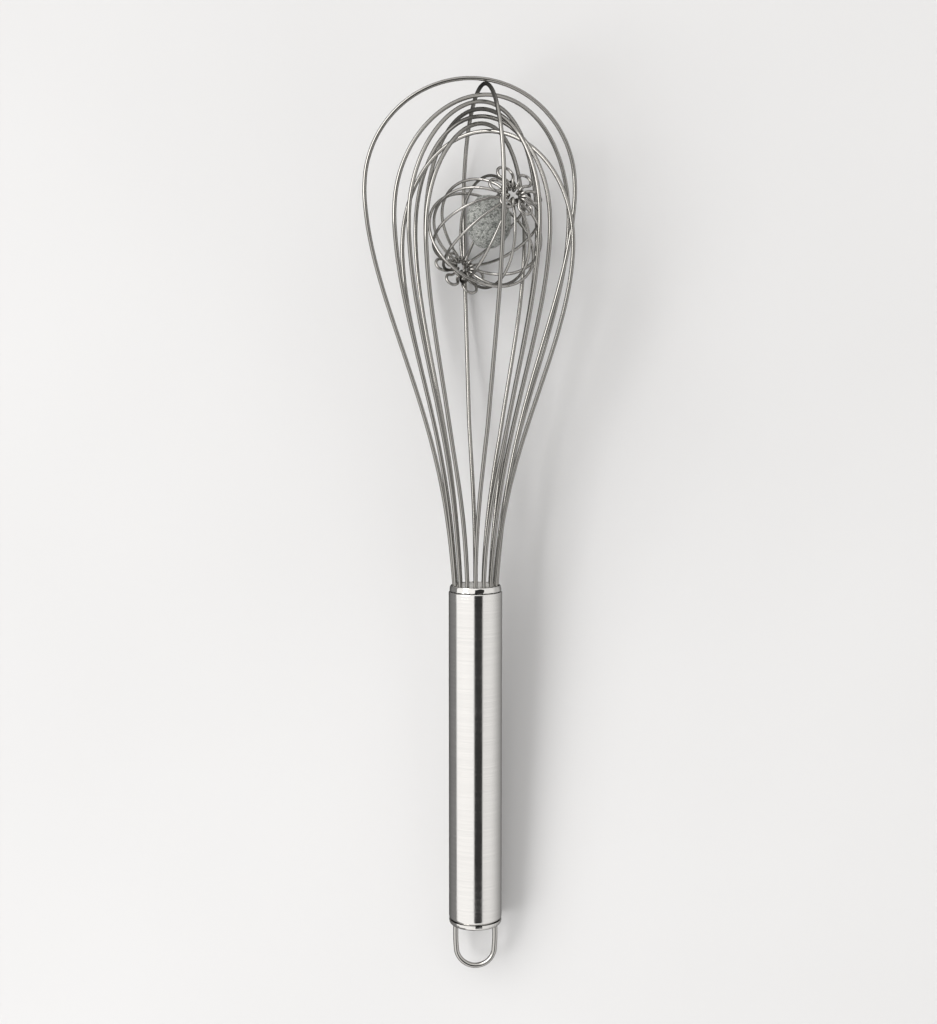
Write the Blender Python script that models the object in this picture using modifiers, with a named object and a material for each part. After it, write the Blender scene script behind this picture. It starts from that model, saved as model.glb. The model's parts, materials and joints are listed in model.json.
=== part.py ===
"""Balloon whisk with a wire ball cage and a loose agitator stone inside the balloon.

The whisk lies on a table: handle towards -Y, balloon towards +Y, tilted so that it
rests on its lowest whisk wire and on the lower edge of the end cap.
"""

import math

import bmesh
import bpy
from mathutils import Matrix, Vector

MM = 0.001

# Placing of the whole whisk on the table
TILT = math.radians(5.74)
AXIS_X = 2.0 * MM
AXIS_Y = -17.7 * MM
AXIS_Z = 21.1 * MM

# Gap kept between neighbouring pieces
GAP = 0.3 * MM

# Steps round a turned piece
TURN_STEPS = 48

# Handle, along the whisk axis; zero is the mouth of the collar
TUBE_R = 9.25 * MM
TUBE_BORE = 8.5 * MM
TUBE_TOP = -2.1 * MM
TUBE_END = -118.0 * MM
TUBE_LIP = 0.5 * MM
COLLAR_BORE = 8.35 * MM
COLLAR_RIM = 0.1 * MM
COLLAR_R = 8.95 * MM
COLLAR_STEPS = 8
PLUG_TOP = -0.1 * MM
PLUG_END = -16.0 * MM
PLUG_R = 7.75 * MM
PLUG_GROOVE_GAP = 0.34 * MM
PLUG_GROOVE_STEPS = 6
CAP_R = 9.2 * MM
CAP_FACE = -120.3 * MM
CAP_ROUND = 1.5 * MM
CAP_SPIGOT_R = 8.1 * MM
CAP_SPIGOT_END = -112.0 * MM
CAP_HOLE_SIDES = 20
CAP_HOLE_TURN = 0.11
CAP_HOLE_DEPTH = 20.0 * MM

# Hanging loop
HANG_WIRE_R = 0.9 * MM
HANG_HALF = 6.7 * MM
HANG_END = -136.6 * MM
HANG_START = -114.0 * MM
HANG_STEPS = 16

# Whisk wires
WIRE_R = 0.7 * MM
LEG_R = 7.3 * MM
LEG_START = -12.0 * MM
LEG_MOUTH = -1.0 * MM
LEG_FLARE = 0.085
LEGS = 16
TURN_RATE = 2.2
LEG_STEPS = 11
CROWN_STEPS = 18

# Each whisk loop: collar seat (sixteenths of a turn from the top), direction of its
# plane in degrees, half width, crown height, tip height, sideways lean, tip offset, fullness
LOOP_SHAPES = {
    "whisk_loop_1": (4, 90, 35.5, 36.0, 171.5, -2.0, 0.3, 1.25),
    "whisk_loop_2": (0, 11, 34.0, 36.0, 169.4, 2.4, 0.0, 1.2),
    "whisk_loop_3": (5, 118, 33.5, 40.0, 166.0, 2.8, 2.5, 1.2),
    "whisk_loop_4": (6, 138, 32.5, 41.0, 163.7, 0.0, 3.5, 1.2),
    "whisk_loop_5": (1, 36, 32.5, 37.0, 161.2, 1.5, -1.5, 1.2),
    "whisk_loop_6": (2, 44, 32.5, 37.0, 158.8, 1.5, -1.5, 1.2),
    "whisk_loop_7": (7, 149, 32.5, 37.0, 156.4, 0.7, 2.8, 1.2),
    "whisk_loop_8": (3, 64, 32.0, 38.0, 154.0, 3.4, -0.5, 1.2),
}

# Ball cage inside the balloon, in the whisk's own axes
CAGE_AT = (4.0 * MM, 121.2 * MM, -10.05 * MM)
CAGE_R = 19.1 * MM
CAGE_WIRE_R = 0.5 * MM
CAGE_POLE = (0.42, 0.56, 0.714)
# Each cage wire runs twice from pole to pole, at these two longitudes
CAGE_RUNS = ((10, 45), (71, 105), (135, 160), (190, 228), (253, 285), (315, 350))
# Both runs of a wire meet the binding ring this far either side of its middle
CAGE_SPLIT = 15.0
CAGE_SPIN = 28.0
# Climb of a run from the equator: degrees of arc, and how far it has left its own
# longitude for its place in the ring
CAGE_CLIMB = ((0, 0.0), (16, 0.05), (32, 0.2), (48, 0.5), (61, 0.8), (71, 1.0))

# Neck of the cage at each pole, and the petals where the wires turn back beyond it
NECK_R = 2.9 * MM
NECK_H = 20.4 * MM
NECK_ENTRY_R = 3.6 * MM
NECK_ENTRY = 1.6 * MM
NECK_BELOW = 1.0 * MM
NECK_ABOVE = 0.9 * MM
PETAL_H = 22.3 * MM
PETAL_SAG = 0.3 * MM
PETAL_START_R = 3.9 * MM
# Turn of the path round the tip of a petal, degrees from straight out
PETAL_TURNS = (90.0, 60.0, 30.0, 0.0, -30.0, -60.0, -90.0)
# Length of each petal from the pole axis, and its half width
PETALS_UPPER = ((9.5, 2.4), (8.8, 2.3), (9.5, 2.4), (9.5, 2.4), (9.5, 2.4), (10.3, 2.8))
PETALS_LOWER = ((9.5, 2.4), (8.5, 2.3), (10.0, 2.6), (8.8, 2.4), (6.0, 1.7), (7.4, 2.0))

# Binding rings round the necks, and the belt wire round the cage
RING_R = 4.25 * MM
RING_WIRE_R = 0.5 * MM
RING_STEPS = 18
BELT_R = 19.9 * MM
BELT_H = -4.2 * MM
BELT_STEPS = 36

# Stone, from the middle of the cage, in world directions
STONE_OFFSET = (0.6 * MM, 4.8 * MM, -7.85 * MM)
STONE_HALF = (8.2 * MM, 9.9 * MM, 8.2 * MM)
STONE_TURNS = 20
STONE_RINGS = 14
STONE_SWELL = 0.02
STONE_FLAT = 0.03


def clear_scene():
    for obj in list(bpy.data.objects):
        bpy.data.objects.remove(obj)


def material(name, colour, roughness, metallic):
    made = bpy.data.materials.new(name)
    made.use_nodes = True
    shader = made.node_tree.nodes["Principled BSDF"]
    shader.inputs["Base Color"].default_value = (*colour, 1.0)
    shader.inputs["Roughness"].default_value = roughness
    shader.inputs["Metallic"].default_value = metallic
    made.diffuse_color = (*colour, 1.0)
    return made


def smooth(u):
    return u * u * (3.0 - 2.0 * u)


def link(obj, parent, group):
    group.objects.link(obj)
    obj.parent = parent
    return obj


def empty(name, parent, group, at=(0.0, 0.0, 0.0), turn=(0.0, 0.0, 0.0)):
    made = bpy.data.objects.new(name, None)
    made.location = at
    made.rotation_euler = turn
    made.empty_display_size = 0.01
    return link(made, parent, group)


def wire(name, points, radius, look, parent, group, closed=False):
    data = bpy.data.curves.new(name, "CURVE")
    data.dimensions = "3D"
    data.bevel_depth = radius
    data.bevel_resolution = 2
    data.use_fill_caps = not closed
    spline = data.splines.new("POLY")
    spline.points.add(len(points) - 1)
    for point, place in zip(spline.points, points):
        point.co = (*place, 1.0)
    spline.use_cyclic_u = closed
    data.materials.append(look)
    return link(bpy.data.objects.new(name, data), parent, group)


def turned(name, profile, look, parent, group, closed=True):
    """A piece turned about the whisk axis from points (radius, along), which run down
    its outer side from the balloon end to the handle end."""
    count = len(profile)
    edges = [(i, i + 1) for i in range(count - 1)]
    if closed:
        edges.append((count - 1, 0))
    data = bpy.data.meshes.new(name)
    data.from_pydata([(radius, along, 0.0) for radius, along in profile], edges, [])
    data.materials.append(look)
    obj = link(bpy.data.objects.new(name, data), parent, group)
    screw = obj.modifiers.new("turning", "SCREW")
    screw.axis = "Y"
    screw.steps = TURN_STEPS
    screw.render_steps = TURN_STEPS
    screw.use_merge_vertices = True
    screw.merge_threshold = 0.00001
    screw.use_smooth_shade = True
    return obj


def arc(centre, radius, start, end, steps):
    """Points (radius, along) round a centre, angles in degrees from outward to balloon."""
    out = []
    for i in range(steps + 1):
        turn = math.radians(start + (end - start) * i / steps)
        out.append((centre[0] + radius * math.cos(turn), centre[1] + radius * math.sin(turn)))
    return out


def handle_tube(look, parent, group):
    lip = TUBE_LIP
    profile = [(TUBE_BORE, TUBE_TOP)]
    profile += arc((TUBE_R - lip, TUBE_TOP - lip), lip, 90.0, 0.0, 3)
    profile += [(TUBE_R, (TUBE_TOP + TUBE_END) / 2.0)]
    profile += [(TUBE_R, TUBE_END), (TUBE_BORE, TUBE_END)]
    return turned("handle_tube", profile, look, parent, group)


def neck_collar(look, parent, group):
    """Band round the wires: a thin rim and a rounded shoulder down to the tube's mouth."""
    low = TUBE_TOP + GAP
    rim = COLLAR_BORE + COLLAR_RIM
    profile = [(COLLAR_BORE, 0.0)]
    for i in range(COLLAR_STEPS + 1):
        turn = math.pi / 2.0 * (1.0 - i / COLLAR_STEPS)
        profile.append((rim + (COLLAR_R - rim) * math.cos(turn), low * (1.0 - math.sin(turn))))
    profile += [(COLLAR_BORE, low)]
    return turned("neck_collar", profile, look, parent, group)


def neck_plug(look, parent, group):
    """Core with a round groove for each of the sixteen wire legs."""
    groove = WIRE_R + PLUG_GROOVE_GAP
    rim = (LEG_R**2 + PLUG_R**2 - groove**2) / (2.0 * LEG_R * PLUG_R)
    across = PLUG_R * math.sin(math.acos(rim))
    reach = math.atan2(across, PLUG_R * rim - LEG_R)
    outline = []
    for i in range(LEGS):
        outward = 2.0 * math.pi * i / LEGS
        centre = Vector((LEG_R * math.cos(outward), LEG_R * math.sin(outward)))
        for j in range(PLUG_GROOVE_STEPS + 1):
            swing = -reach - (2.0 * math.pi - 2.0 * reach) * j / PLUG_GROOVE_STEPS
            turn = outward + swing
            outline.append(centre + Vector((groove * math.cos(turn), groove * math.sin(turn))))
    data = bpy.data.curves.new("neck_plug", "CURVE")
    data.dimensions = "2D"
    data.fill_mode = "BOTH"
    data.extrude = (PLUG_TOP - PLUG_END) / 2.0
    spline = data.splines.new("POLY")
    spline.points.add(len(outline) - 1)
    for point, place in zip(spline.points, outline):
        point.co = (place.x, place.y, 0.0, 1.0)
    spline.use_cyclic_u = True
    data.materials.append(look)
    plug = link(bpy.data.objects.new("neck_plug", data), parent, group)
    plug.rotation_euler = (math.pi / 2.0, 0.0, 0.0)
    plug.location = (0.0, (PLUG_TOP + PLUG_END) / 2.0, 0.0)
    return plug


def cap_hole(side, parent, cutters):
    """Cutter for one leg of the hanging loop; side is -1 or 1."""
    bpy.ops.mesh.primitive_cylinder_add(
        vertices=CAP_HOLE_SIDES,
        radius=HANG_WIRE_R + GAP,
        depth=CAP_HOLE_DEPTH,
        end_fill_type="TRIFAN",
    )
    cutter = bpy.context.object
    cutter.name = "cap_hole_left" if side < 0 else "cap_hole_right"
    cutter.rotation_euler = (math.pi / 2.0, CAP_HOLE_TURN, 0.0)
    cutter.location = (side * HANG_HALF, CAP_FACE, 0.0)
    for held in list(cutter.users_collection):
        held.objects.unlink(cutter)
    cutter.hide_render = True
    cutter.display_type = "WIRE"
    return link(cutter, parent, cutters)


def end_cap(look, parent, group, cutters):
    """Cap with a spigot inside the tube and two holes for the hanging loop."""
    top = TUBE_END - GAP
    profile = [(0.0, CAP_SPIGOT_END), (CAP_SPIGOT_R, CAP_SPIGOT_END), (CAP_SPIGOT_R, top)]
    profile += [(CAP_R, top)]
    profile += arc((CAP_R - CAP_ROUND, CAP_FACE + CAP_ROUND), CAP_ROUND, 0.0, -90.0, 5)
    profile += [(0.0, CAP_FACE)]
    cap = turned("end_cap", profile, look, parent, group, closed=False)
    for side in (-1, 1):
        cutter = cap_hole(side, parent, cutters)
        cut = cap.modifiers.new(cutter.name, "BOOLEAN")
        cut.operation = "DIFFERENCE"
        cut.solver = "EXACT"
        cut.object = cutter
    return cap


def hanging_loop(look, parent, group):
    middle = HANG_END + HANG_WIRE_R + HANG_HALF
    points = [(-HANG_HALF, HANG_START, 0.0)]
    for i in range(HANG_STEPS + 1):
        turn = math.pi * i / HANG_STEPS
        points.append((-HANG_HALF * math.cos(turn), middle - HANG_HALF * math.sin(turn), 0.0))
    points += [(HANG_HALF, HANG_START, 0.0)]
    return wire("hanging_loop", points, HANG_WIRE_R, look, parent, group)


def leg_radius(along, width, widest, fullness):
    u = max(0.0, min(1.0, along / widest))
    flare = LEG_FLARE * max(0.0, along) * (1.0 - u) ** 2
    return LEG_R + flare + (width - LEG_R) * smooth(u**fullness)


def loop_point(shape, along, radius):
    seat, plane, _, crown, tip, lean, tip_shift, _ = shape
    widest = (tip - crown) * MM
    u = max(0.0, min(1.0, along / widest))
    settle = smooth(min(1.0, u * TURN_RATE))
    first = 360.0 / LEGS * seat
    turn = math.radians(first + (plane - first) * settle)
    top = max(0.0, (along - widest) / (crown * MM))
    x = radius * math.sin(turn) + lean * MM * smooth(u) + tip_shift * MM * top * top
    return (x, along, radius * math.cos(turn))


def whisk_loop_points(shape):
    _, _, width, crown, tip, _, _, fullness = shape
    widest = (tip - crown) * MM
    half = [(LEG_START, LEG_R), (LEG_MOUTH, LEG_R)]
    for i in range(1, LEG_STEPS + 1):
        along = widest * i / (LEG_STEPS + 1.0)
        half.append((along, leg_radius(along, width * MM, widest, fullness)))
    path = list(half)
    for i in range(CROWN_STEPS + 1):
        turn = math.pi * i / CROWN_STEPS
        rise = widest + crown * MM * math.sin(turn)
        path.append((rise, width * MM * math.cos(turn)))
    path += [(along, -radius) for along, radius in reversed(half)]
    return [loop_point(shape, along, radius) for along, radius in path]


def cage_frame():
    """Turn of the cage: its local z runs through the poles, in the whisk's own axes."""
    pole = Vector(CAGE_POLE).normalized()
    side = Vector((0.0, 0.0, 1.0)).cross(pole).normalized()
    return Matrix((side, pole.cross(side), pole)).transposed()


def run_to_pole():
    """(distance from the pole axis, height, settled) from the equator, through the ring,
    to the start of the turn back. Settled is 1 where the runs are evenly spaced."""
    path = []
    for angle, settled in CAGE_CLIMB:
        turn = math.radians(angle)
        path.append((CAGE_R * math.cos(turn), CAGE_R * math.sin(turn), settled))
    path.append((NECK_ENTRY_R, NECK_H - NECK_ENTRY, 1.0))
    path.append((NECK_R, NECK_H - NECK_BELOW, 1.0))
    path.append((NECK_R, NECK_H + NECK_ABOVE, 1.0))
    path.append((PETAL_START_R, PETAL_H, 1.0))
    return path


def petal_turn(petal, middle, side):
    """(distance from the pole axis, height, longitude) round the tip of one petal."""
    length, half_width = (value * MM for value in petal)
    path = []
    for swing in PETAL_TURNS:
        way = math.radians(swing)
        out_by = length - half_width + half_width * math.cos(way)
        across = side * half_width * math.sin(way)
        radius = math.hypot(out_by, across)
        path.append((radius, PETAL_H - PETAL_SAG, middle + math.atan2(across, out_by)))
    return path


def cage_wire_points(index):
    """Closed path of one wire: up a run, round the upper petal, down its other run and
    round the lower petal."""
    middle = math.radians(CAGE_SPIN + 360.0 * index / len(CAGE_RUNS))
    split = math.radians(CAGE_SPLIT)
    first, second = (math.radians(run) for run in CAGE_RUNS[index])
    low_side = (first, middle - split)
    high_side = (second, middle + split)
    path = []
    for side, petals in ((1, PETALS_UPPER), (-1, PETALS_LOWER)):
        going, coming = (high_side, low_side) if side > 0 else (low_side, high_side)
        run = run_to_pole()
        for radius, height, settled in run:
            path.append((radius, side * height, going[0] + (going[1] - going[0]) * settled))
        for radius, height, turn in petal_turn(petals[index], middle, side):
            path.append((radius, side * height, turn))
        for radius, height, settled in reversed(run[1:]):
            path.append((radius, side * height, coming[0] + (coming[1] - coming[0]) * settled))
    frame = cage_frame()
    return [
        tuple(frame @ Vector((radius * math.cos(turn), radius * math.sin(turn), height)))
        for radius, height, turn in path
    ]


def cage_ring(name, radius, height, steps, look, parent, group):
    """A closed ring of wire round the line through the poles."""
    frame = cage_frame()
    points = []
    for i in range(steps):
        turn = 2.0 * math.pi * i / steps
        place = Vector((radius * math.cos(turn), radius * math.sin(turn), height))
        points.append(tuple(frame @ place))
    return wire(name, points, RING_WIRE_R, look, parent, group, closed=True)


def stone_ball(look, parent, group):
    """Rounded pebble, a little flatter on its -X side."""
    shape = bmesh.new()
    bmesh.ops.create_uvsphere(shape, u_segments=STONE_TURNS, v_segments=STONE_RINGS, radius=1.0)
    for vert in shape.verts:
        way = vert.co.copy()
        turn = math.atan2(way.y, way.x)
        swell = 1.0 + STONE_SWELL * math.sin(2.0 * turn + 1.0) * math.hypot(way.x, way.y)
        swell -= STONE_FLAT * max(0.0, -way.x) ** 3
        vert.co = [way[k] * STONE_HALF[k] * swell for k in range(3)]
    data = bpy.data.meshes.new("stone_ball")
    shape.to_mesh(data)
    shape.free()
    data.shade_smooth()
    data.materials.append(look)
    return link(bpy.data.objects.new("stone_ball", data), parent, group)


def main():
    clear_scene()
    group = bpy.data.collections.new("balloon_whisk")
    cutters = bpy.data.collections.new("cutters")
    bpy.context.scene.collection.children.link(group)
    bpy.context.scene.collection.children.link(cutters)

    satin = material("satin_steel_tube", (0.62, 0.61, 0.60), 0.28, 1.0)
    bright = material("polished_steel_collar", (0.68, 0.67, 0.65), 0.1, 1.0)
    cap_look = material("polished_steel_cap", (0.66, 0.65, 0.63), 0.15, 1.0)
    hang_look = material("hanging_loop_steel", (0.66, 0.65, 0.63), 0.18, 1.0)
    wire_look = material("whisk_wire_steel", (0.6, 0.59, 0.57), 0.22, 1.0)
    cage_look = material("cage_wire_steel", (0.64, 0.63, 0.6), 0.2, 1.0)
    ring_look = material("binding_ring_steel", (0.64, 0.63, 0.6), 0.24, 1.0)
    plug_look = material("grey_neck_plug", (0.42, 0.42, 0.41), 0.55, 0.0)
    stone_look = material("speckled_grey_stone", (0.36, 0.38, 0.36), 0.8, 0.0)

    place = (AXIS_X, AXIS_Y, AXIS_Z)
    root = empty("whisk_axis", None, group, place, (TILT, 0.0, 0.0))
    handle_tube(satin, root, group)
    neck_collar(bright, root, group)
    neck_plug(plug_look, root, group)
    end_cap(cap_look, root, group, cutters)
    hanging_loop(hang_look, root, group)
    for name, shape in LOOP_SHAPES.items():
        wire(name, whisk_loop_points(shape), WIRE_R, wire_look, root, group)

    cage = empty("cage_middle", root, group, CAGE_AT)
    for index in range(len(CAGE_RUNS)):
        name = "cage_wire_" + str(index + 1)
        wire(name, cage_wire_points(index), CAGE_WIRE_R, cage_look, cage, group, closed=True)
    cage_ring("cage_ring_upper", RING_R, NECK_H, RING_STEPS, ring_look, cage, group)
    cage_ring("cage_ring_lower", RING_R, -NECK_H, RING_STEPS, ring_look, cage, group)
    cage_ring("cage_belt", BELT_R, BELT_H, BELT_STEPS, cage_look, cage, group)

    tilt = Matrix.Rotation(TILT, 3, "X")
    middle = Vector(place) + tilt @ Vector(CAGE_AT) + Vector(STONE_OFFSET)
    stone_place = empty("stone_middle", None, group, middle)
    stone_ball(stone_look, stone_place, group)


main()
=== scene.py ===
"""Looks of the balloon whisk: drawn wires, turned steel handle, caged stone, floor,
studio light and camera. The wires' routes and every piece's place are read from the
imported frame."""

import json
import math

import bmesh
import bpy
from mathutils import Matrix, Quaternion, Vector, noise


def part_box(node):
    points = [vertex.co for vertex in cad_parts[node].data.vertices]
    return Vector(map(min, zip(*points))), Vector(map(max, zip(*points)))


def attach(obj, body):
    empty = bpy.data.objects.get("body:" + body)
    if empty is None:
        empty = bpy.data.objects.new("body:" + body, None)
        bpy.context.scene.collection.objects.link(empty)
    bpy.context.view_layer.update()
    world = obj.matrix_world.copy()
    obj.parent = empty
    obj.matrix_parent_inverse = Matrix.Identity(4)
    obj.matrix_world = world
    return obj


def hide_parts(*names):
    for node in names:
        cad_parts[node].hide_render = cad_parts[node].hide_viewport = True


MM = 0.001

# Camera: straight above the whisk, the top of the picture towards +Y. Its sensor and lens
# are in millimetres
CAMERA_AT = Vector((-0.4, 7.5, 600.0)) * MM
SENSOR = 36.0
LENS = 58.92
CLIP_START = 0.01

# Wires in the frame: sides of a ring, and how exactly rings and their sides are told
WIRE_SIDES_IN_FRAME = 8
SAME_POINT = 0.01 * MM
RING_SLACK = 0.03
SIDE_SLACK = 0.02

# Wires as drawn
WHISK_WIRE_R = 0.7 * MM
CAGE_WIRE_R = 0.5 * MM
HANG_WIRE_R = 0.9 * MM
FINE_SIDES = 16
WHISK_STEP = 1.2 * MM
CAGE_STEP = 0.45 * MM
HANG_STEP = 0.5 * MM

# Turned pieces: lengths, then steps along the arcs. The rim's end and the sharp edges are
# angles in degrees
FINE_TURNS = 144
TUBE_WALL = 0.75 * MM
TUBE_LIP = 0.45 * MM
TUBE_ROLL = 1.0 * MM
TUBE_ROLL_IN = 0.8 * TUBE_WALL
TUBE_STEPS = 24
COLLAR_BORE = 8.35 * MM
COLLAR_RIM = 0.18 * MM
COLLAR_RIM_END = 60.0
SHOULDER_STEPS = 20
RIM_STEPS = 4
ARC_STEPS = 8
DENT_DEPTH = 0.12 * MM
DENT_LIMIT = 0.6
LEGS = 16
SHARP_EDGE = 50.0

# Stone: its noise has large and small lumps, each with a scale and a place, and fine grain
STONE_LEVELS = 6
STONE_LUMPS = 0.5 * MM
LARGE_LUMPS = 1.7
LARGE_LUMPS_AT = Vector((3.1, 0.4, 7.7))
SMALL_LUMPS = 4.2
SMALL_LUMPS_AT = Vector((1.3, 5.2, 2.9))
SMALL_LUMP_SHARE = 0.45
STONE_GRAIN = 0.07 * MM
GRAIN_SCALE = 24.0
GRAIN_FADE = 1.0
GRAIN_RATIO = 2.0
GRAIN_LAYERS = 3
STONE_SINK = 0.6

# Steel: tone and depth of its marks, scales of its broad marks, scales of its coarse lines
# as shares of the fine ones, and how far both change the roughness
MARK_TONE = 0.93
MARK_DEPTH = 0.004 * MM
MARK_STRENGTH = 0.35
BROAD_MARKS = (90.0, 90.0, 45.0)
COARSE_LINES = (0.21, 0.21, 0.35)
BROAD_WEAR = (0.8, 1.35)
LINE_WEAR = (0.75, 1.3)

# Plug, stone and floor: two tones, scales of the clouds and grain per metre, range of the
# roughness, and depth and strength of the bumps
EVEN = (1.0, 1.0, 1.0)
PLUG_TONES = ((0.8, 0.79, 0.77), (0.9, 0.89, 0.87))
PLUG_CLOUD = 380.0
PLUG_GRAIN = 2600.0
PLUG_ROUGHNESS = (0.42, 0.66)
PLUG_DEPTH = 0.05 * MM
PLUG_STRENGTH = 0.4
PLUG_METALLIC = 0.25
STONE_TONES = ((0.26, 0.27, 0.255), (0.42, 0.43, 0.41))
STONE_CLOUD = 230.0
STONE_PITS = 1900.0
STONE_ROUGHNESS = (0.62, 0.9)
SWELL_DEPTH = 0.3 * MM
SWELL_STRENGTH = 0.4
PIT_DEPTH = 0.12 * MM
PIT_STRENGTH = 0.7
FLOOR_TONES = ((0.685, 0.685, 0.69), (0.715, 0.715, 0.72))
FLOOR_CLOUD = 5.0
FLOOR_GRAIN = 90.0
FLOOR_ROUGHNESS = (0.5, 0.62)
FLOOR_GLOSS = 0.25

# Grains of the stone: scale, noise value where they start and are full, colour, share
STONE_GRAINS = (
    (900.0, 0.52, 0.58, (0.06, 0.065, 0.06), 0.75),
    (1500.0, 0.55, 0.61, (0.6, 0.61, 0.58), 0.6),
    (2400.0, 0.53, 0.62, (0.09, 0.095, 0.09), 0.7),
)

# Floor: metres from its middle to its edge, and cells along a side
FLOOR_REACH = 3.0
FLOOR_CELLS = 40

# Sky: a dark patch overhead between a bright left and a grey right side, and a brighter
# window patch on the left. Patches reach from and to these degrees from straight up,
# across with + towards the right, and along with + towards the balloon. Each side fades
# downwards, from its glow to its value below, between two values of a direction's z
SKY_TINT = (1.0, 0.985, 0.965, 1.0)
DARK_ACROSS = (-3.0, 29.0)
DARK_ALONG = (-44.0, 12.0)
EDGE = 5.0
LEFT_GLOW = 1.0
RIGHT_GLOW = 0.8
DARK_GLOW = 0.03
BELOW_LEFT = 0.22
BELOW_RIGHT = 0.42
LEFT_FADE = (-0.06, 0.04)
RIGHT_FADE = (-0.7, 0.5)
WINDOW_ACROSS = (-60.0, -32.0)
WINDOW_ALONG = (-2.0, 60.0)
WINDOW_GLOW = 2.9

# Lamp, in metres and watts
LAMP_AT = Vector((-0.95, -0.5, 1.05))
LAMP_SIZE = Vector((0.55, 0.65))
LAMP_POWER = 7.1

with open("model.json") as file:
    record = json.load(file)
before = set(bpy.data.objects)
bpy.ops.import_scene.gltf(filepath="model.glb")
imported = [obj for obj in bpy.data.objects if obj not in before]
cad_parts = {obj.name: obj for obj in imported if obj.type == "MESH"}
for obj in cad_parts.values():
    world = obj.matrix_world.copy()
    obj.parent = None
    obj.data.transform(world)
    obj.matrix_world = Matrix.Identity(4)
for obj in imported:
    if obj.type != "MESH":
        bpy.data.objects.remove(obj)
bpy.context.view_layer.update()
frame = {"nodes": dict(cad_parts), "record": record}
nodes = frame["nodes"]


# ---------------------------------------------------------------- whisk axis


def whisk_axis():
    """Where the cap's face meets the axis of the handle, and a frame whose local y runs
    along the handle towards the balloon."""
    mount = frame["record"]["mounts"][0]
    along = -Vector(mount["axis"]).normalized()
    across = Vector((1.0, 0.0, 0.0))
    up = across.cross(along).normalized()
    return Vector(mount["pos_m"]), Matrix((across, along, up)).transposed()


# ---------------------------------------------------------------- materials


def node(tree, kind, **settings):
    made = tree.nodes.new(kind)
    for name, value in settings.items():
        setattr(made, name, value)
    return made


def noise_from(tree, place, stretch, scale, detail):
    """Noise at a place in the piece's own coordinates, which are stretched first."""
    shape = node(tree, "ShaderNodeMapping")
    shape.inputs["Scale"].default_value = stretch
    tree.links.new(place, shape.inputs["Vector"])
    made = node(tree, "ShaderNodeTexNoise")
    made.inputs["Scale"].default_value = scale
    made.inputs["Detail"].default_value = detail
    tree.links.new(shape.outputs["Vector"], made.inputs["Vector"])
    return made.outputs["Fac"]


def spread(tree, source, low, high, from_low=0.3, from_high=0.7):
    """The source's middle range turned into low..high."""
    made = node(tree, "ShaderNodeMapRange")
    made.inputs["From Min"].default_value = from_low
    made.inputs["From Max"].default_value = from_high
    made.inputs["To Min"].default_value = low
    made.inputs["To Max"].default_value = high
    tree.links.new(source, made.inputs["Value"])
    return made.outputs["Result"]


def blend_colours(tree, factor, first, second):
    made = node(tree, "ShaderNodeMix", data_type="RGBA")
    made.inputs["A"].default_value = (*first, 1.0)
    made.inputs["B"].default_value = (*second, 1.0)
    tree.links.new(factor, made.inputs["Factor"])
    return made.outputs["Result"]


def bump(tree, height, depth, strength, under=None):
    made = node(tree, "ShaderNodeBump")
    made.inputs["Distance"].default_value = depth
    made.inputs["Strength"].default_value = strength
    tree.links.new(height, made.inputs["Height"])
    if under is not None:
        tree.links.new(under, made.inputs["Normal"])
    return made.outputs["Normal"]


def blank(name):
    made = bpy.data.materials.new(name)
    made.use_nodes = True
    return made, made.node_tree, made.node_tree.nodes["Principled BSDF"]


def steel(name, tone, roughness, lines, edge, carried=False):
    """Stainless steel. Lines are the scales of its finish round and along the piece: a low
    value along a direction draws the marks out that way. Edge is how bright it stays where
    it is seen edge-on. A carried CAD node has no grain of its own and takes its plain
    coordinates."""
    made, tree, shader = blank(name)
    if carried:
        place = node(tree, "ShaderNodeTexCoord").outputs["Object"]
    else:
        place = node(tree, "ShaderNodeAttribute", attribute_name="grain").outputs["Vector"]
    fine = noise_from(tree, place, lines, 1.0, detail=4.0)
    broad = noise_from(tree, place, BROAD_MARKS, 1.0, detail=2.0)
    coarse = tuple(scale * share for scale, share in zip(lines, COARSE_LINES))
    marks = noise_from(tree, place, coarse, 1.0, detail=1.0)
    darker = tuple(MARK_TONE * value for value in tone)
    colour = blend_colours(tree, spread(tree, fine, 0.0, 1.0), darker, tone)
    tree.links.new(colour, shader.inputs["Base Color"])
    worn = node(tree, "ShaderNodeMath", operation="MULTIPLY")
    smoother, rougher = (wear * roughness for wear in LINE_WEAR)
    tree.links.new(spread(tree, broad, *BROAD_WEAR), worn.inputs[0])
    tree.links.new(spread(tree, marks, smoother, rougher), worn.inputs[1])
    tree.links.new(worn.outputs["Value"], shader.inputs["Roughness"])
    tree.links.new(bump(tree, fine, MARK_DEPTH, MARK_STRENGTH), shader.inputs["Normal"])
    shader.inputs["Metallic"].default_value = 1.0
    shader.inputs["Specular Tint"].default_value = (edge, edge, edge, 1.0)
    return made


def moulded_grey(name):
    """Pale grey core that grips the wires: a mottled cast surface."""
    made, tree, shader = blank(name)
    place = node(tree, "ShaderNodeTexCoord").outputs["Object"]
    fine = noise_from(tree, place, EVEN, PLUG_GRAIN, detail=4.0)
    broad = noise_from(tree, place, EVEN, PLUG_CLOUD, detail=2.0)
    colour = blend_colours(tree, spread(tree, broad, 0.0, 1.0), *PLUG_TONES)
    tree.links.new(colour, shader.inputs["Base Color"])
    tree.links.new(spread(tree, fine, *PLUG_ROUGHNESS), shader.inputs["Roughness"])
    tree.links.new(bump(tree, fine, PLUG_DEPTH, PLUG_STRENGTH), shader.inputs["Normal"])
    shader.inputs["Metallic"].default_value = PLUG_METALLIC
    return made


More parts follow.
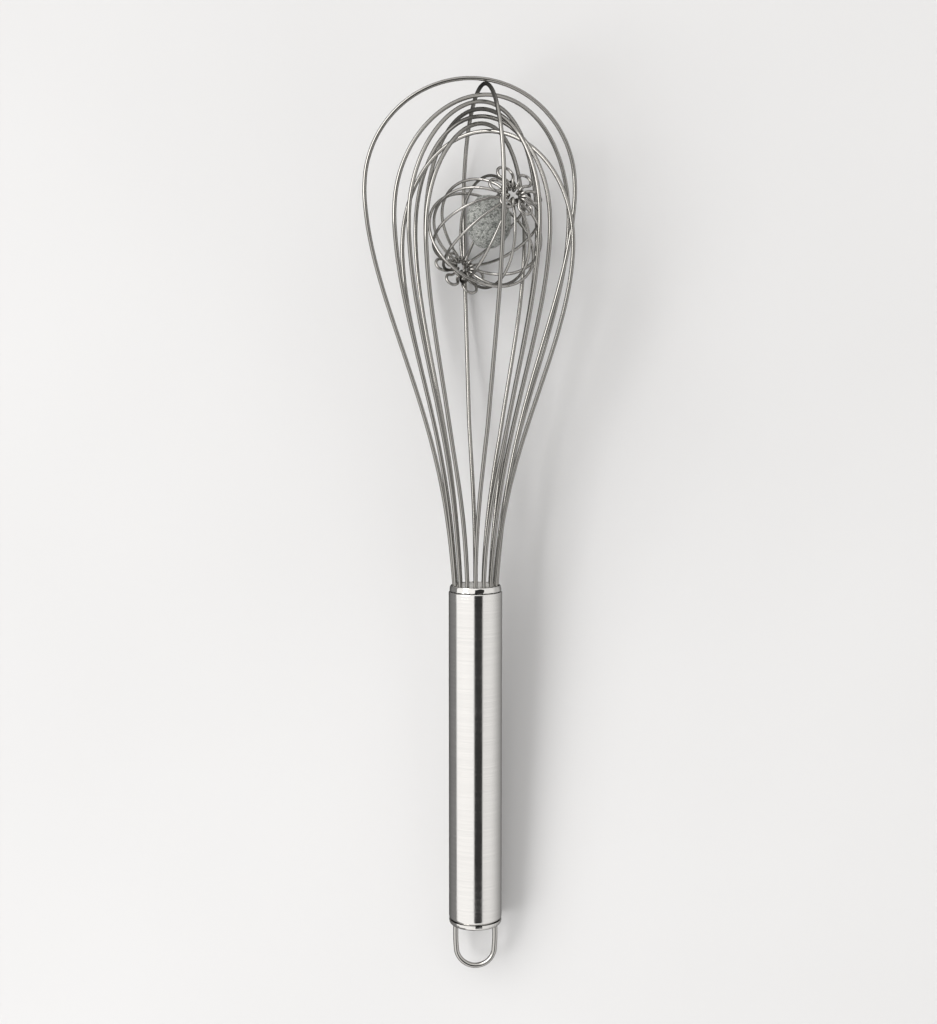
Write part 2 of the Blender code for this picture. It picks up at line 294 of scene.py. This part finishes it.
def granite(name):
    """Grey-green stone with dark and pale grains of about a millimetre and less."""
    made, tree, shader = blank(name)
    place = node(tree, "ShaderNodeTexCoord").outputs["Object"]
    cloud = noise_from(tree, place, EVEN, STONE_CLOUD, detail=3.0)
    colour = blend_colours(tree, spread(tree, cloud, 0.0, 1.0), *STONE_TONES)
    for index, (scale, start, full, tint, share) in enumerate(STONE_GRAINS):
        # Each layer is stretched a little differently, so that their grains don't line up
        uneven = (1.0, 1.1 + 0.2 * index, 0.9 + 0.15 * index)
        grains = noise_from(tree, place, uneven, scale, detail=2.0)
        speck = spread(tree, grains, 0.0, share, start, full)
        layer = node(tree, "ShaderNodeMix", data_type="RGBA")
        layer.inputs["B"].default_value = (*tint, 1.0)
        tree.links.new(speck, layer.inputs["Factor"])
        tree.links.new(colour, layer.inputs["A"])
        colour = layer.outputs["Result"]
    tree.links.new(colour, shader.inputs["Base Color"])
    pits = noise_from(tree, place, EVEN, STONE_PITS, detail=5.0)
    tree.links.new(spread(tree, pits, *STONE_ROUGHNESS), shader.inputs["Roughness"])
    swells = bump(tree, cloud, SWELL_DEPTH, SWELL_STRENGTH)
    tree.links.new(bump(tree, pits, PIT_DEPTH, PIT_STRENGTH, swells), shader.inputs["Normal"])
    return made


def pale_floor(name):
    """Nearly white table, faintly uneven in tone and gloss."""
    made, tree, shader = blank(name)
    place = node(tree, "ShaderNodeTexCoord").outputs["Object"]
    cloud = noise_from(tree, place, EVEN, FLOOR_CLOUD, detail=2.0)
    colour = blend_colours(tree, spread(tree, cloud, 0.0, 1.0), *FLOOR_TONES)
    tree.links.new(colour, shader.inputs["Base Color"])
    fine = noise_from(tree, place, EVEN, FLOOR_GRAIN, detail=3.0)
    tree.links.new(spread(tree, fine, *FLOOR_ROUGHNESS), shader.inputs["Roughness"])
    shader.inputs["Specular IOR Level"].default_value = FLOOR_GLOSS
    return made


# ---------------------------------------------------------------- geometry


def piece(name, verts, faces, grain, look, body, slot, *replaced):
    """A smooth-shaded mesh piece that rides on a body and stands for CAD nodes. Grain is
    each vertex's place on the straightened piece, for its finish."""
    data = bpy.data.meshes.new(name)
    data.from_pydata(verts, [], faces)
    shape = bmesh.new()
    shape.from_mesh(data)
    bmesh.ops.recalc_face_normals(shape, faces=shape.faces)
    shape.to_mesh(data)
    shape.free()
    data.shade_smooth()
    data.set_sharp_from_angle(angle=math.radians(SHARP_EDGE))
    if grain is not None:
        kept = data.attributes.new("grain", "FLOAT_VECTOR", "POINT")
        for vert, value in enumerate(grain):
            kept.data[vert].vector = value
    data.materials.append(look)
    made = bpy.data.objects.new(name, data)
    bpy.context.scene.collection.objects.link(made)
    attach(made, body)
    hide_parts(*replaced)
    return made


def body_of(name):
    groups = frame["record"]["behaviour"]["bodies"]
    return next(body for body, members in groups.items() if name in members)


def is_ring(verts, radius):
    """Whether these vertices lie on one whole circle of the wire's size."""
    middle = sum((vert.co for vert in verts), Vector()) / len(verts)
    return all(abs((vert.co - middle).length - radius) < RING_SLACK * radius for vert in verts)


def joined_halves(parts, radius):
    """Rings whose flat sides were merged away come as two halves: these are put together."""
    rings = [part for part in parts if len(part) == WIRE_SIDES_IN_FRAME]
    halves = [part for part in parts if len(part) < WIRE_SIDES_IN_FRAME]
    while halves:
        first = halves.pop()
        match = next((part for part in halves if is_ring(first + part, radius)), [])
        if match:
            halves.remove(match)
        rings.append(first + match)
    return rings


def rings_of(name, radius):
    """Middles of the rings that make up a CAD wire, and which rings adjoin which."""
    shape = bmesh.new()
    shape.from_mesh(nodes[name].data)
    bmesh.ops.remove_doubles(shape, verts=shape.verts, dist=SAME_POINT)
    chord = 2.0 * radius * math.sin(math.pi / WIRE_SIDES_IN_FRAME)
    met = set()
    parts = []
    for start in shape.verts:
        if start in met:
            continue
        met.add(start)
        parts.append([start])
        for vert in parts[-1]:
            for edge in vert.link_edges:
                other = edge.other_vert(vert)
                if other not in met and abs(edge.calc_length() - chord) < SIDE_SLACK * chord:
                    met.add(other)
                    parts[-1].append(other)
    rings = joined_halves(parts, radius)
    ring_of = {vert: index for index, ring in enumerate(rings) for vert in ring}
    beside = [set() for _ in rings]
    for edge in shape.edges:
        first, second = (ring_of[vert] for vert in edge.verts)
        if first != second:
            beside[first].add(second)
            beside[second].add(first)
    middles = [sum((vert.co for vert in ring), Vector()) / len(ring) for ring in rings]
    shape.free()
    return middles, beside


def centreline(name, radius):
    """The middle line of a CAD wire, in order, and whether it closes on itself."""
    centres, beside = rings_of(name, radius)
    ends = [ring for ring, others in enumerate(beside) if len(others) == 1]
    closed = not ends
    here = ends[0] if ends else 0
    order = [here]
    seen = {here}
    while True:
        onward = sorted(other for other in beside[here] if other not in seen)
        if not onward:
            break
        here = onward[0]
        seen.add(here)
        order.append(here)
    return [centres[ring] for ring in order], closed


def smooth_path(points, closed, step):
    """Points about a step apart on a smooth curve through the given ones."""
    if closed:
        points = [points[-1]] + points + points[:2]
    gaps = [(b - a).length for a, b in zip(points, points[1:])]
    slopes = [(b - a) / gap for a, b, gap in zip(points, points[1:], gaps)]
    tangents = [slopes[0]]
    for i in range(1, len(points) - 1):
        share = gaps[i] / (gaps[i - 1] + gaps[i])
        tangents.append(slopes[i - 1] * share + slopes[i] * (1.0 - share))
    tangents.append(slopes[-1])
    dense = []
    spans = range(1, len(points) - 2) if closed else range(len(points) - 1)
    for i in spans:
        parts = max(2, round(gaps[i] / step))
        for j in range(parts):
            t = j / parts
            dense.append(
                points[i] * (2 * t**3 - 3 * t**2 + 1)
                + tangents[i] * gaps[i] * (t**3 - 2 * t**2 + t)
                + points[i + 1] * (3 * t**2 - 2 * t**3)
                + tangents[i + 1] * gaps[i] * (t**3 - t**2)
            )
    if not closed:
        dense.append(points[-1])
    return dense


def carried_frames(path, closed):
    """A direction across the wire at each point, carried along it without twisting. On a
    closed wire the twist left over is shared out evenly."""
    count = len(path)
    tangents = []
    for i in range(count):
        before = path[i - 1] if closed or i > 0 else path[0]
        after = path[(i + 1) % count] if closed or i < count - 1 else path[-1]
        tangents.append((after - before).normalized())
    across = [tangents[0].orthogonal().normalized()]
    for i in range(1, count):
        turned = tangents[i - 1].rotation_difference(tangents[i]) @ across[-1]
        across.append((turned - tangents[i] * turned.dot(tangents[i])).normalized())
    if closed:
        last = tangents[-1].rotation_difference(tangents[0]) @ across[-1]
        left_over = math.atan2(last.cross(across[0]).dot(tangents[0]), last.dot(across[0]))
        for i in range(count):
            across[i] = Quaternion(tangents[i], left_over * i / count) @ across[i]
    return tangents, across


def drawn_wire(name, radius, step, look, slot):
    """Round, smooth wire along the middle line of a CAD wire."""
    points, closed = centreline(name, radius)
    path = smooth_path(points, closed, step)
    tangents, across = carried_frames(path, closed)
    verts = []
    grain = []
    travelled = 0.0
    for i, middle in enumerate(path):
        if i:
            travelled += (middle - path[i - 1]).length
        second = tangents[i].cross(across[i])
        for j in range(FINE_SIDES):
            turn = 2.0 * math.pi * j / FINE_SIDES
            way = across[i] * math.cos(turn) + second * math.sin(turn)
            verts.append(middle + way * radius)
            grain.append((radius * math.cos(turn), radius * math.sin(turn), travelled))
    faces = []
    count = len(path)
    for i in range(count if closed else count - 1):
        near = i * FINE_SIDES
        far = (i + 1) % count * FINE_SIDES
        for j in range(FINE_SIDES):
            k = (j + 1) % FINE_SIDES
            faces.append((near + j, near + k, far + k, far + j))
    if not closed:
        faces.append(tuple(range(FINE_SIDES)))
        faces.append(tuple(range((count - 1) * FINE_SIDES, count * FINE_SIDES)))
    return piece("fine_" + name, verts, faces, grain, look, body_of(name), slot, name)


def along_axis(name):
    """(lowest, highest, largest radius) of a CAD node about the whisk axis."""
    inward = axis_frame.transposed()
    local = [inward @ (vert.co - cap_middle) for vert in nodes[name].data.vertices]
    heights = [place.y for place in local]
    return min(heights), max(heights), max(math.hypot(place.x, place.z) for place in local)


def rounded(radius, along, size, start, end, steps=ARC_STEPS):
    """Part of an ellipse in a profile, from one angle to another in degrees. Size is its
    reach outward and along the axis."""
    out = []
    for i in range(steps + 1):
        turn = math.radians(start + (end - start) * i / steps)
        out.append((radius + size[0] * math.cos(turn), along + size[1] * math.sin(turn)))
    return out


def spun(name, profile, look, slot, *replaced, dents=None):
    """A closed profile of (radius, along) turned about the whisk axis. Dents gives the
    depth, at each point of the profile, of a hollow between every two wire legs."""
    verts = []
    grain = []
    for i in range(FINE_TURNS):
        turn = 2.0 * math.pi * i / FINE_TURNS
        hollow = 0.5 - 0.5 * math.cos(LEGS * turn)
        for index, (radius, along) in enumerate(profile):
            if dents:
                radius -= dents[index] * hollow
            place = Vector((radius * math.sin(turn), along, radius * math.cos(turn)))
            verts.append(cap_middle + axis_frame @ place)
            grain.append((place.x, place.z, along))
    faces = []
    count = len(profile)
    for i in range(FINE_TURNS):
        near = i * count
        far = (i + 1) % FINE_TURNS * count
        for j in range(count):
            k = (j + 1) % count
            faces.append((near + j, near + k, far + k, far + j))
    return piece(name, verts, faces, grain, look, "whisk", slot, *replaced)


# ---------------------------------------------------------------- pieces


def handle_tube(look):
    """Satin tube with a rolled edge at both ends."""
    low, high, radius = along_axis("handle_tube")
    bore = radius - TUBE_WALL
    profile = [(bore, high)]
    profile += rounded(radius - TUBE_LIP, high - TUBE_LIP, (TUBE_LIP, TUBE_LIP), 90.0, 0.0)
    straight = low + TUBE_ROLL - high + TUBE_LIP
    for i in range(1, TUBE_STEPS):
        profile.append((radius, high - TUBE_LIP + straight * i / TUBE_STEPS))
    centre = radius - TUBE_ROLL_IN
    profile += rounded(centre, low + TUBE_ROLL, (TUBE_ROLL_IN, TUBE_ROLL), 0.0, -90.0)
    profile.append((bore, low))
    return spun("fine_handle_tube", profile, look, "satin_steel_tube", "handle_tube")


def neck_collar(look):
    """Polished band: a thin rolled rim, and a rounded shoulder down to the tube with a
    shallow hollow between every two wires."""
    low, high, radius = along_axis("neck_collar")
    half = COLLAR_RIM / 2.0
    rim = COLLAR_BORE + half
    profile = rounded(rim, high - half, (half, half), 180.0, COLLAR_RIM_END, RIM_STEPS)
    rim_end = math.radians(COLLAR_RIM_END)
    shoulder = radius - rim - half * math.cos(rim_end)
    top = high - half + half * math.sin(rim_end)
    for i in range(1, SHOULDER_STEPS + 1):
        turn = math.pi / 2.0 * (1.0 - i / SHOULDER_STEPS)
        drop = (top - low) * (1.0 - math.sin(turn))
        profile.append((radius - shoulder * (1.0 - math.cos(turn)), top - drop))
    profile.append((COLLAR_BORE, low))
    dents = []
    for outer, along in profile:
        dent = DENT_DEPTH * math.sin(math.pi * (along - low) / (high - low))
        dents.append(min(dent, DENT_LIMIT * (outer - COLLAR_BORE)))
    return spun(
        "fine_neck_collar", profile, look, "polished_steel_collar", "neck_collar", dents=dents
    )


def stone(look):
    """Worn pebble, lumpy and finely pitted, in the space of its CAD solid."""
    low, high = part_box("stone_ball")
    middle = (low + high) / 2.0
    half = (high - low) / 2.0
    shape = bmesh.new()
    bmesh.ops.create_icosphere(shape, subdivisions=STONE_LEVELS, radius=1.0)
    for vert in shape.verts:
        way = vert.co.normalized()
        place = Vector((way.x * half.x, way.y * half.y, way.z * half.z))
        lump = noise.noise(way * LARGE_LUMPS + LARGE_LUMPS_AT) * STONE_LUMPS
        lump += noise.noise(way * SMALL_LUMPS + SMALL_LUMPS_AT) * STONE_LUMPS * SMALL_LUMP_SHARE
        grain = noise.fractal(way * GRAIN_SCALE, GRAIN_FADE, GRAIN_RATIO, GRAIN_LAYERS)
        lump += grain * STONE_GRAIN
        vert.co = middle + place + way * (lump - STONE_LUMPS * STONE_SINK)
    verts = [vert.co.copy() for vert in shape.verts]
    faces = [tuple(vert.index for vert in face.verts) for face in shape.faces]
    shape.free()
    return piece(
        "fine_stone_ball", verts, faces, None, look, "stone", "speckled_grey_stone", "stone_ball"
    )


# ---------------------------------------------------------------- surroundings


def floor():
    """Plain table. Metal and gloss reflect the sky's lower part in its place."""
    shape = bmesh.new()
    bmesh.ops.create_grid(
        shape, x_segments=FLOOR_CELLS, y_segments=FLOOR_CELLS, size=FLOOR_REACH
    )
    data = bpy.data.meshes.new("floor")
    shape.to_mesh(data)
    shape.free()
    data.materials.append(pale_floor("pale_table"))
    made = bpy.data.objects.new("floor", data)
    bpy.context.scene.collection.objects.link(made)
    made.visible_glossy = False


def ramp(tree, source, start, end, low, high):
    """Low up to the source's start value, high from its end value, smooth between."""
    made = node(tree, "ShaderNodeMapRange", interpolation_type="SMOOTHSTEP")
    made.inputs["From Min"].default_value = start
    made.inputs["From Max"].default_value = end
    made.inputs["To Min"].default_value = low
    made.inputs["To Max"].default_value = high
    tree.links.new(source, made.inputs["Value"])
    return made.outputs["Result"]


def product(tree, first, second):
    made = node(tree, "ShaderNodeMath", operation="MULTIPLY")
    tree.links.new(first, made.inputs[0])
    tree.links.new(second, made.inputs[1])
    return made.outputs["Value"]


def lean_from_up(tree, part, up):
    """Degrees that a direction leans from straight up along one of its parts."""
    lean = node(tree, "ShaderNodeMath", operation="ARCTAN2")
    tree.links.new(part, lean.inputs[0])
    tree.links.new(up, lean.inputs[1])
    degrees = node(tree, "ShaderNodeMath", operation="DEGREES")
    tree.links.new(lean.outputs["Value"], degrees.inputs[0])
    return degrees.outputs["Value"]


def between(tree, source, span):
    """One inside the span, nought outside it, with soft edges."""
    rise = ramp(tree, source, span[0] - EDGE, span[0], 0.0, 1.0)
    fall = ramp(tree, source, span[1], span[1] + EDGE, 1.0, 0.0)
    return product(tree, rise, fall)


def studio_sky():
    """World light whose strength depends on the direction only."""
    world = bpy.data.worlds.new("studio")
    bpy.context.scene.world = world
    world.use_nodes = True
    tree = world.node_tree
    way = node(tree, "ShaderNodeTexCoord").outputs["Generated"]
    parts = node(tree, "ShaderNodeSeparateXYZ")
    tree.links.new(way, parts.inputs["Vector"])
    up = parts.outputs["Z"]
    across = lean_from_up(tree, parts.outputs["X"], up)
    along = lean_from_up(tree, parts.outputs["Y"], up)

    sides = node(tree, "ShaderNodeMix", data_type="FLOAT")
    start = DARK_ACROSS[0] - EDGE
    end = DARK_ACROSS[1] + EDGE
    tree.links.new(ramp(tree, across, start, end, 0.0, 1.0), sides.inputs["Factor"])
    tree.links.new(ramp(tree, up, *LEFT_FADE, BELOW_LEFT, LEFT_GLOW), sides.inputs["A"])
    tree.links.new(ramp(tree, up, *RIGHT_FADE, BELOW_RIGHT, RIGHT_GLOW), sides.inputs["B"])

    patched = node(tree, "ShaderNodeMix", data_type="FLOAT")
    patch = product(tree, between(tree, across, DARK_ACROSS), between(tree, along, DARK_ALONG))
    tree.links.new(patch, patched.inputs["Factor"])
    tree.links.new(sides.outputs["Result"], patched.inputs["A"])
    patched.inputs["B"].default_value = DARK_GLOW

    window = product(tree, between(tree, across, WINDOW_ACROSS), between(tree, along, WINDOW_ALONG))
    lit = node(tree, "ShaderNodeMath", operation="MULTIPLY_ADD")
    tree.links.new(window, lit.inputs[0])
    lit.inputs[1].default_value = WINDOW_GLOW
    tree.links.new(patched.outputs["Result"], lit.inputs[2])

    sky = tree.nodes["Background"]
    sky.inputs["Color"].default_value = SKY_TINT
    tree.links.new(lit.outputs["Value"], sky.inputs["Strength"])


def window_light():
    """One soft lamp at the left, for the shadows. It isn't seen in reflections."""
    lamp = bpy.data.lights.new("window", "AREA")
    lamp.shape = "RECTANGLE"
    lamp.size = LAMP_SIZE.x
    lamp.size_y = LAMP_SIZE.y
    lamp.energy = LAMP_POWER
    held = bpy.data.objects.new("window", lamp)
    held.location = LAMP_AT
    held.rotation_euler = (-LAMP_AT).to_track_quat("-Z", "Y").to_euler()
    held.visible_glossy = False
    bpy.context.scene.collection.objects.link(held)


def camera():
    """Looks straight down, as a camera does when it isn't turned."""
    data = bpy.data.cameras.new("camera")
    data.sensor_fit = "VERTICAL"
    data.sensor_height = SENSOR
    data.lens = LENS
    data.clip_start = CLIP_START
    made = bpy.data.objects.new("camera", data)
    made.location = CAMERA_AT
    bpy.context.scene.collection.objects.link(made)
    bpy.context.scene.camera = made


cap_middle, axis_frame = whisk_axis()
bpy.context.scene.view_settings.view_transform = "Standard"

wire_steel = steel(
    "whisk_wire_steel_fine",
    tone=(0.43, 0.42, 0.4),
    roughness=0.09,
    lines=(5200.0, 5200.0, 130.0),
    edge=0.2,
)
cage_steel = steel(
    "cage_wire_steel_fine",
    tone=(0.48, 0.47, 0.45),
    roughness=0.08,
    lines=(6000.0, 6000.0, 160.0),
    edge=0.1,
)
ring_steel = steel(
    "binding_ring_steel_fine",
    tone=(0.52, 0.51, 0.49),
    roughness=0.09,
    lines=(6000.0, 6000.0, 300.0),
    edge=0.1,
)
hang_steel = steel(
    "hanging_loop_steel_fine",
    tone=(0.6, 0.59, 0.57),
    roughness=0.06,
    lines=(4200.0, 4200.0, 120.0),
    edge=0.1,
)
tube_steel = steel(
    "satin_steel_tube_fine",
    tone=(0.93, 0.92, 0.905),
    roughness=0.13,
    lines=(60.0, 60.0, 3400.0),
    edge=0.4,
)
collar_steel = steel(
    "polished_steel_collar_fine",
    tone=(0.94, 0.93, 0.91),
    roughness=0.06,
    lines=(90.0, 90.0, 4200.0),
    edge=0.4,
)
cap_steel = steel(
    "polished_steel_cap_fine",
    tone=(0.9, 0.89, 0.87),
    roughness=0.1,
    lines=(2200.0, 300.0, 2200.0),
    edge=0.4,
    carried=True,
)

for name in sorted(nodes):
    if name.startswith("whisk_loop"):
        drawn_wire(name, WHISK_WIRE_R, WHISK_STEP, wire_steel, "whisk_wire_steel")
    elif name.startswith("cage_ring"):
        drawn_wire(name, CAGE_WIRE_R, CAGE_STEP, ring_steel, "binding_ring_steel")
    elif name.startswith("cage"):
        drawn_wire(name, CAGE_WIRE_R, CAGE_STEP, cage_steel, "cage_wire_steel")
drawn_wire("hanging_loop", HANG_WIRE_R, HANG_STEP, hang_steel, "hanging_loop_steel")
handle_tube(tube_steel)
neck_collar(collar_steel)
stone(granite("speckled_grey_stone_fine"))
nodes["neck_plug"].data.materials[0] = moulded_grey("grey_neck_plug_fine")
nodes["end_cap"].data.materials[0] = cap_steel

floor()
studio_sky()
window_light()
camera()
